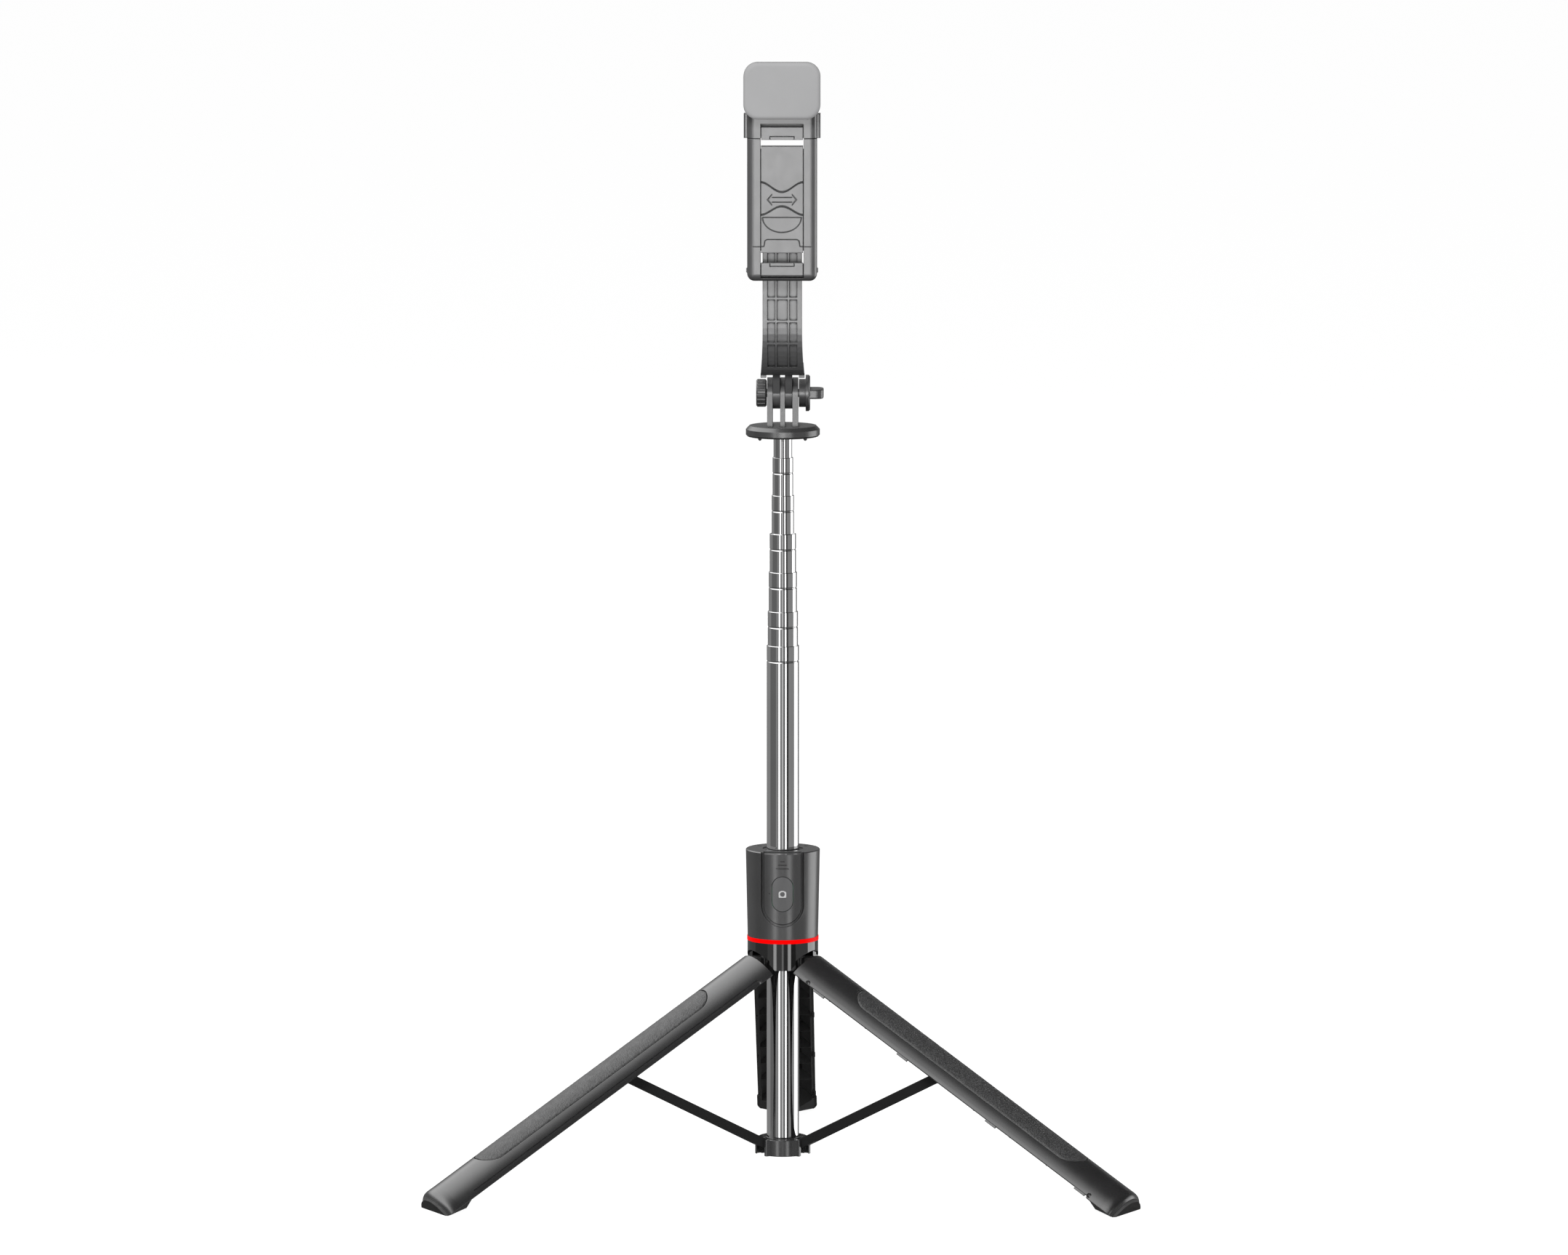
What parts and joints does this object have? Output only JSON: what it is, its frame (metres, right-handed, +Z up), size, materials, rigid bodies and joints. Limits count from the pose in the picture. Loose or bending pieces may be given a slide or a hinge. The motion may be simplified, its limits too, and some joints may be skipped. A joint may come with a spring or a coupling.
{
  "type": "selfie stick",
  "caption": "Folding tripod selfie stick with telescopic chrome mast, sprung phone clamp with flip-out claws, tilting arm, flip-up fill light and lift-out remote.",
  "frame": {"origin": "point of the floor under the axis of the mast, legs fully open", "axes": "+Z up along the mast; -Y is the front, the side of the remote and of the clamp; +X to the right seen from the front"},
  "size_m": [0.4302, 0.3776, 0.6823],
  "materials": {
    "housing_plastic": "fine satin moulding",
    "accent_red": "gloss",
    "gloss_black": "mirror gloss",
    "steel": "plain",
    "bush_plastic": "plain",
    "chrome": "bright polished",
    "collar_plastic": "satin",
    "leg_plastic": "fine satin moulding",
    "grip_texture": "leather grained",
    "foot_rubber": "plain",
    "strut_black": "satin black",
    "head_plastic": "satin",
    "clamp_plastic": "fine matt",
    "pad_rubber": "soft",
    "diffuser": "frosted",
    "circuit": "solder mask",
    "cell_wrap": "wrapped cell",
    "button_plastic": "fine matt"
  },
  "bodies": {
    "hub": {"dock_housing": "housing_plastic", "accent_ring": "accent_red", "leg_yoke": "gloss_black", "leg_hinge_pins": "steel", "guide_bushes": "bush_plastic", "cover_screws": "steel"},
    "mast": {"mast_tube_1": "chrome", "spreader_collar": "collar_plastic", "collar_plug": "bush_plastic"},
    "leg_1": {"leg_1_shell": "leg_plastic", "leg_1_grip": "grip_texture", "leg_1_foot": "foot_rubber"},
    "strut_1": {"strut_1": "strut_black"},
    "leg_2": {"leg_2_shell": "leg_plastic", "leg_2_grip": "grip_texture", "leg_2_foot": "foot_rubber"},
    "strut_2": {"strut_2": "strut_black"},
    "leg_3": {"leg_3_shell": "leg_plastic", "leg_3_grip": "grip_texture", "leg_3_foot": "foot_rubber"},
    "strut_3": {"strut_3": "strut_black"},
    "section_2": {"mast_tube_2": "chrome", "tube_bush_2": "bush_plastic"},
    "section_3": {"mast_tube_3": "chrome", "tube_bush_3": "bush_plastic"},
    "section_4": {"mast_tube_4": "chrome", "tube_bush_4": "bush_plastic"},
    "section_5": {"mast_tube_5": "chrome", "tube_bush_5": "bush_plastic"},
    "section_6": {"mast_tube_6": "chrome", "tube_bush_6": "bush_plastic"},
    "section_7": {"mast_tube_7": "chrome", "tube_bush_7": "bush_plastic"},
    "head": {"head_stud": "bush_plastic", "mount_disc": "head_plastic", "knurled_nut": "head_plastic"},
    "knob": {"wing_knob": "head_plastic", "tilt_bolt": "steel"},
    "arm": {"arm": "clamp_plastic"},
    "clamp": {"clamp_frame": "clamp_plastic", "cradle_plate": "clamp_plastic", "swivel_screw": "steel", "return_springs": "steel"},
    "slider": {"slider_sleeve": "clamp_plastic"},
    "upper_claw": {"upper_claw": "clamp_plastic", "upper_claw_pad": "pad_rubber"},
    "lower_claw": {"lower_claw": "clamp_plastic", "lower_claw_pad": "pad_rubber"},
    "lamp": {"lamp_housing": "clamp_plastic", "lamp_diffuser": "diffuser", "led_board": "circuit", "lamp_cell": "cell_wrap"},
    "lamp_button": {"lamp_button": "clamp_plastic"},
    "remote": {"remote_shell": "housing_plastic", "remote_back": "housing_plastic", "remote_board": "circuit", "coin_cell": "steel"},
    "shutter_button": {"shutter_button": "button_plastic"}
  },
  "joints": [
    {"name": "mast_slide", "type": "slide", "parent": "hub", "child": "mast", "axis": [0, 0, -1], "range_m": [0, 0.12126]},
    {"name": "leg_1_fold", "type": "hinge", "parent": "hub", "child": "leg_1", "pos_m": [-0.01212, -0.007, 0.1336], "axis": [0.5, -0.866, 0], "range_deg": [0, 60.01]},
    {"name": "strut_1_fold", "type": "hinge", "parent": "leg_1", "child": "strut_1", "pos_m": [-0.10062, -0.0581, 0.0746], "axis": [-0.5, 0.866, 0], "range_deg": [0, 122.72]},
    {"name": "leg_2_fold", "type": "hinge", "parent": "hub", "child": "leg_2", "pos_m": [0.01212, -0.007, 0.1336], "axis": [0.5, 0.866, 0], "range_deg": [0, 60.01]},
    {"name": "strut_2_fold", "type": "hinge", "parent": "leg_2", "child": "strut_2", "pos_m": [0.10062, -0.0581, 0.0746], "axis": [-0.5, -0.866, 0], "range_deg": [0, 122.72]},
    {"name": "leg_3_fold", "type": "hinge", "parent": "hub", "child": "leg_3", "pos_m": [0, 0.014, 0.1336], "axis": [-1, 0, 0], "range_deg": [0, 60.01]},
    {"name": "strut_3_fold", "type": "hinge", "parent": "leg_3", "child": "strut_3", "pos_m": [0, 0.11619, 0.0746], "axis": [1, 0, 0], "range_deg": [0, 122.72]},
    {"name": "section_2_slide", "type": "slide", "parent": "mast", "child": "section_2", "axis": [0, 0, 1], "range_m": [-0.0193, 0.223]},
    {"name": "section_3_slide", "type": "slide", "parent": "section_2", "child": "section_3", "axis": [0, 0, 1], "range_m": [-0.0224, 0.211]},
    {"name": "section_4_slide", "type": "slide", "parent": "section_3", "child": "section_4", "axis": [0, 0, 1], "range_m": [-0.0218, 0.203]},
    {"name": "section_5_slide", "type": "slide", "parent": "section_4", "child": "section_5", "axis": [0, 0, 1], "range_m": [-0.0218, 0.194]},
    {"name": "section_6_slide", "type": "slide", "parent": "section_5", "child": "section_6", "axis": [0, 0, 1], "range_m": [-0.0215, 0.185]},
    {"name": "section_7_slide", "type": "slide", "parent": "section_6", "child": "section_7", "axis": [0, 0, 1], "range_m": [-0.009, 0.186]},
    {"name": "head_pan", "type": "hinge", "parent": "section_7", "child": "head", "pos_m": [0, 0, 0.4535], "axis": [0, 0, 1], "continuous": true},
    {"name": "knob_turn", "type": "hinge", "parent": "head", "child": "knob", "pos_m": [0, 0, 0.4796], "axis": [1, 0, 0], "continuous": true},
    {"name": "arm_tilt", "type": "hinge", "parent": "head", "child": "arm", "pos_m": [0, 0, 0.4796], "axis": [-1, 0, 0], "range_deg": [-60, 180]},
    {"name": "clamp_swivel", "type": "hinge", "parent": "arm", "child": "clamp", "pos_m": [0, -0.0315, 0.5992], "axis": [0, -1, 0], "range_deg": [-90, 90]},
    {"name": "sleeve_lift", "type": "slide", "parent": "clamp", "child": "slider", "axis": [0, 0, 1], "range_m": [0, 0.03], "stiffness_N_per_m": 250, "springref_m": -0.02, "deforming": ["return_springs"]},
    {"name": "upper_claw_flip", "type": "hinge", "parent": "slider", "child": "upper_claw", "pos_m": [0, -0.0413, 0.6426], "axis": [-1, 0, 0], "range_deg": [0, 90]},
    {"name": "lower_claw_flip", "type": "hinge", "parent": "clamp", "child": "lower_claw", "pos_m": [0, -0.0413, 0.5548], "axis": [1, 0, 0], "range_deg": [0, 90]},
    {"name": "lamp_flip", "type": "hinge", "parent": "slider", "child": "lamp", "pos_m": [0, -0.0373, 0.6532], "axis": [-1, 0, 0], "range_deg": [0, 180]},
    {"name": "lamp_button_press", "type": "slide", "parent": "lamp", "child": "lamp_button", "axis": [0, -1, 0], "range_m": [0, 0.0006], "stiffness_N_per_m": 800, "springref_m": -0.0005},
    {"name": "remote_lift", "type": "slide", "parent": "hub", "child": "remote", "axis": [0, 0, 1], "range_m": [0, 0.046]},
    {"name": "shutter_press", "type": "slide", "parent": "remote", "child": "shutter_button", "axis": [0, 1, 0], "range_m": [0, 0.0008], "stiffness_N_per_m": 800, "springref_m": -0.0005}
  ],
  "couplings": [
    {"joint": "leg_1_fold", "follows": "mast_slide", "rad_per_m": 8.6363},
    {"joint": "strut_1_fold", "follows": "mast_slide", "rad_per_m": 17.661},
    {"joint": "leg_2_fold", "follows": "mast_slide", "rad_per_m": 8.6363},
    {"joint": "strut_2_fold", "follows": "mast_slide", "rad_per_m": 17.661},
    {"joint": "leg_3_fold", "follows": "mast_slide", "rad_per_m": 8.6363},
    {"joint": "strut_3_fold", "follows": "mast_slide", "rad_per_m": 17.661}
  ]
}
